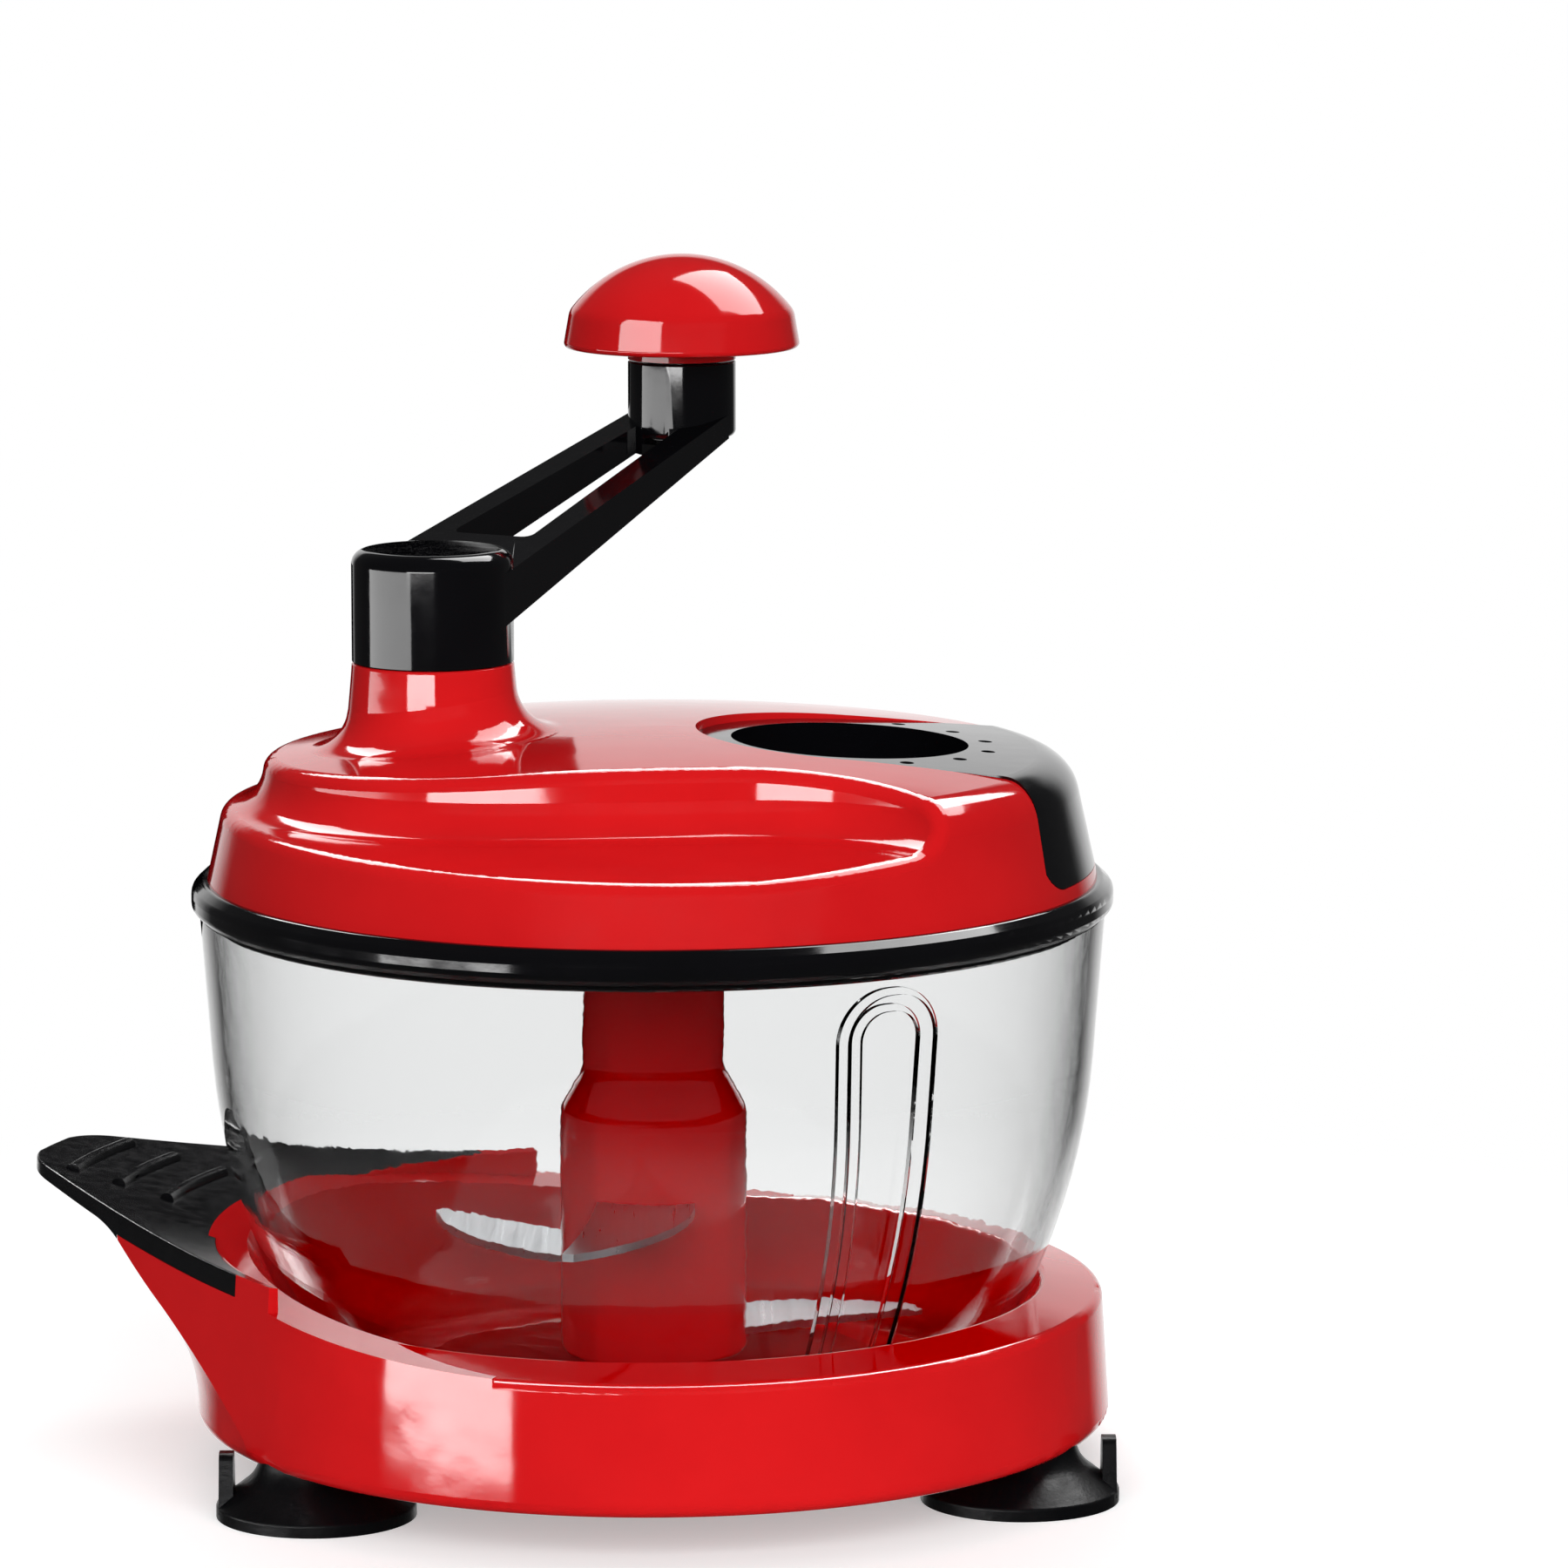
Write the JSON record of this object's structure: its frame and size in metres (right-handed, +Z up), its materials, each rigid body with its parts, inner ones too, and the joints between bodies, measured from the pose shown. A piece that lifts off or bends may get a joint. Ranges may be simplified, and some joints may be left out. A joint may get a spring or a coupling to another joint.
{
  "type": "manual food processor",
  "caption": "Hand-crank food processor: round base with lip handle and suction feet, clear bowl with swept blades, and a geared lid with feed opening, slotted crank and spinning knob.",
  "frame": {"origin": "on the bowl's upright axis, on the surface that the suction feet stand on", "axes": "+Z up along the bowl's axis; -X towards the crank's hub; +X towards the feed opening; -Y towards the viewer of the picture"},
  "size_m": [0.2167, 0.2013, 0.2343],
  "materials": {
    "red_plastic": "glossy moulded",
    "black_plastic": "glossy moulded",
    "grip": "satin",
    "foot_rubber": "satin",
    "clear_plastic": "clear polished",
    "steel": "brushed",
    "nylon": "matte",
    "seal_rubber": "matte"
  },
  "bodies": {
    "base": {"base_tray": "red_plastic", "handle_grip": "grip", "suction_foot_left": "foot_rubber", "suction_foot_right": "foot_rubber", "suction_foot_rear": "foot_rubber"},
    "bowl": {"bowl": "clear_plastic", "pivot_pin": "steel"},
    "blade_unit": {"blade_sleeve": "red_plastic", "blade_bush": "nylon", "lower_blade": "steel", "middle_blade": "steel", "upper_blade": "steel"},
    "lid": {"lid_shell": "red_plastic", "lid_rim_ring": "black_plastic", "lid_seal": "seal_rubber", "feed_insert": "black_plastic", "gear_cover": "black_plastic", "gear_cover_screws": "steel", "crank_bush": "nylon"},
    "crank": {"crank_arm": "black_plastic", "crank_shaft": "steel", "drive_gear": "nylon", "gear_washer": "steel", "gear_screw": "steel", "knob_pin": "steel"},
    "knob": {"knob_shell": "red_plastic", "knob_bush": "nylon"},
    "pinion": {"drive_pinion": "nylon"}
  },
  "joints": [
    {"name": "bowl_lift", "type": "slide", "parent": "base", "child": "bowl", "axis": [0, 0, 1], "range_m": [0, 0.12]},
    {"name": "lid_lift", "type": "slide", "parent": "bowl", "child": "lid", "axis": [0, 0, 1], "range_m": [0, 0.12]},
    {"name": "crank_turn", "type": "hinge", "parent": "lid", "child": "crank", "pos_m": [-0.0432, 0, 0.15], "axis": [0, 0, 1], "continuous": true},
    {"name": "knob_spin", "type": "hinge", "parent": "crank", "child": "knob", "pos_m": [0.0063, 0.08574, 0.22], "axis": [0, 0, 1], "continuous": true},
    {"name": "pinion_turn", "type": "hinge", "parent": "lid", "child": "pinion", "pos_m": [0, 0, 0.125], "axis": [0, 0, 1], "continuous": true},
    {"name": "blade_turn", "type": "hinge", "parent": "bowl", "child": "blade_unit", "pos_m": [0, 0, 0.05], "axis": [0, 0, 1], "continuous": true}
  ],
  "couplings": [
    {"joint": "pinion_turn", "follows": "crank_turn", "ratio": -3.1538},
    {"joint": "blade_turn", "follows": "crank_turn", "ratio": -3.1538}
  ]
}
